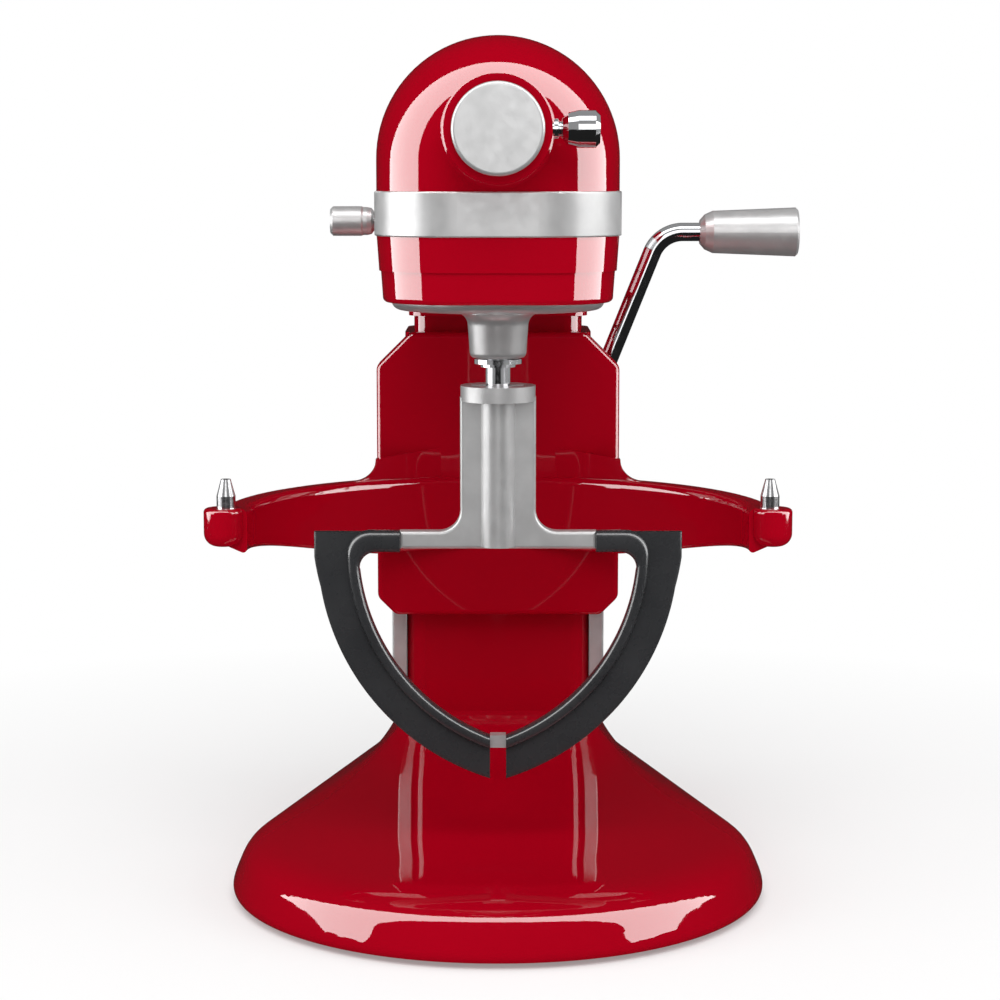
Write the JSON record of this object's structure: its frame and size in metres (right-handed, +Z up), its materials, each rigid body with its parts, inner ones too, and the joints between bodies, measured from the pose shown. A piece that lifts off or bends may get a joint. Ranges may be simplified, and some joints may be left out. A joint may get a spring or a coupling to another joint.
{
  "type": "stand mixer",
  "caption": "Bowl-lift stand mixer with a planetary beater, a lever-raised bowl carriage on a column, a front power take-off and a geared motor in the head.",
  "frame": {"origin": "on the worktop, straight under the axis of the planetary drive, which is also the axis of the bowl", "axes": "+Z up, -Y towards the user's side with the attachment hub, +X to the right of somebody who faces the hub"},
  "size_m": [0.3074, 0.369, 0.4165],
  "materials": {
    "red_enamel": "glossy baked enamel on cast metal",
    "satin_aluminium": "satin, bead blasted",
    "cast_aluminium": "burnished casting with a fine grain",
    "chrome": "bright chrome plate",
    "polished_steel": "turned and polished",
    "gear_steel": "hobbed and greased",
    "bearing_steel": "ground",
    "fastener_steel": "zinc plated",
    "silicone": "matt dark silicone",
    "foot_rubber": "matt black",
    "bronze": "sintered bronze",
    "copper": "lacquered winding wire and copper bars",
    "lamination": "stacked steel sheet",
    "magnet": "sintered ferrite",
    "carbon": "carbon graphite",
    "nylon": "moulded black nylon",
    "circuit_board": "green board with fitted parts"
  },
  "bodies": {
    "stand": {"base": "red_enamel", "rubber_feet": "foot_rubber", "column": "red_enamel", "column_bolts": "fastener_steel", "neck_bolts": "fastener_steel", "slide_rail_left": "satin_aluminium", "slide_rail_right": "satin_aluminium", "rail_screws": "fastener_steel", "gear_case": "red_enamel", "upper_housing": "red_enamel", "trim_band": "satin_aluminium", "rear_cover": "red_enamel", "hub_socket": "polished_steel", "ring_gear": "gear_steel", "gearbox_bracket": "cast_aluminium", "centre_bearings": "bronze", "intermediate_bearing": "bronze", "hub_bearing": "bronze", "motor_can": "fastener_steel", "field_magnets": "magnet", "motor_bearings": "bearing_steel", "brush_holders": "nylon", "carbon_brushes": "carbon", "motor_mount": "cast_aluminium", "control_board": "circuit_board", "speed_switch": "nylon", "cord_gland": "foot_rubber", "lift_bush": "bronze"},
    "planetary": {"planetary_housing": "cast_aluminium", "centre_shaft": "gear_steel", "centre_gear": "gear_steel", "mitre_pinion": "gear_steel"},
    "agitator": {"agitator_shaft": "chrome", "planet_pinion": "gear_steel", "drive_pin": "polished_steel", "beater_frame": "cast_aluminium", "wiper_left": "silicone", "wiper_right": "silicone"},
    "intermediate": {"intermediate_shaft": "gear_steel", "drive_pinion": "gear_steel", "crown_wheel": "gear_steel"},
    "rotor": {"motor_shaft": "bearing_steel", "motor_pinion": "gear_steel", "armature": "lamination", "armature_windings": "copper", "commutator": "copper", "cooling_fan": "nylon"},
    "hub_drive": {"hub_shaft": "gear_steel", "hub_mitre": "gear_steel"},
    "hub_cover": {"hub_cap": "satin_aluminium"},
    "hub_screw": {"hub_knob": "chrome"},
    "speed_control": {"speed_lever": "polished_steel", "speed_knob": "satin_aluminium"},
    "carriage_body": {"carriage": "red_enamel", "bowl_pins": "polished_steel", "bowl_latch": "polished_steel"},
    "lift_lever_body": {"lift_shaft": "polished_steel", "lift_crank": "gear_steel", "lift_rod": "chrome", "lift_grip": "satin_aluminium"}
  },
  "joints": [
    {"name": "planetary_spin", "type": "hinge", "parent": "stand", "child": "planetary", "pos_m": [0, 0, 0.29], "axis": [0, 0, 1], "continuous": true},
    {"name": "agitator_spin", "type": "hinge", "parent": "planetary", "child": "agitator", "pos_m": [0, -0.03, 0.26], "axis": [0, 0, 1], "continuous": true},
    {"name": "intermediate_spin", "type": "hinge", "parent": "stand", "child": "intermediate", "pos_m": [0, 0.0465, 0.33], "axis": [0, 0, 1], "continuous": true},
    {"name": "motor_spin", "type": "hinge", "parent": "stand", "child": "rotor", "pos_m": [0, 0.12, 0.358], "axis": [0, 1, 0], "continuous": true},
    {"name": "hub_drive_spin", "type": "hinge", "parent": "stand", "child": "hub_drive", "pos_m": [0, -0.03, 0.373], "axis": [0, -1, 0], "continuous": true},
    {"name": "lift_lever_swing", "type": "hinge", "parent": "stand", "child": "lift_lever_body", "pos_m": [0.05, 0.158, 0.225], "axis": [-1, 0, 0], "range_deg": [0, 100]},
    {"name": "bowl_lift", "type": "slide", "parent": "stand", "child": "carriage_body", "axis": [0, 0, -1], "range_m": [0, 0.045]},
    {"name": "speed_lever_slide", "type": "slide", "parent": "stand", "child": "speed_control", "axis": [0, -1, 0], "range_m": [0, 0.045]},
    {"name": "hub_cap_pull", "type": "slide", "parent": "stand", "child": "hub_cover", "axis": [0, -1, 0], "range_m": [0, 0.1]},
    {"name": "hub_knob_turn", "type": "hinge", "parent": "stand", "child": "hub_screw", "pos_m": [0.03, -0.097, 0.373], "axis": [1, 0, 0], "range_deg": [0, 720]}
  ],
  "couplings": [
    {"joint": "agitator_spin", "follows": "planetary_spin", "ratio": -4},
    {"joint": "intermediate_spin", "follows": "planetary_spin", "ratio": -3.4286},
    {"joint": "motor_spin", "follows": "planetary_spin", "ratio": -13.714},
    {"joint": "hub_drive_spin", "follows": "planetary_spin", "ratio": 1},
    {"joint": "bowl_lift", "follows": "lift_lever_swing", "m_per_rad": 0.02578}
  ]
}
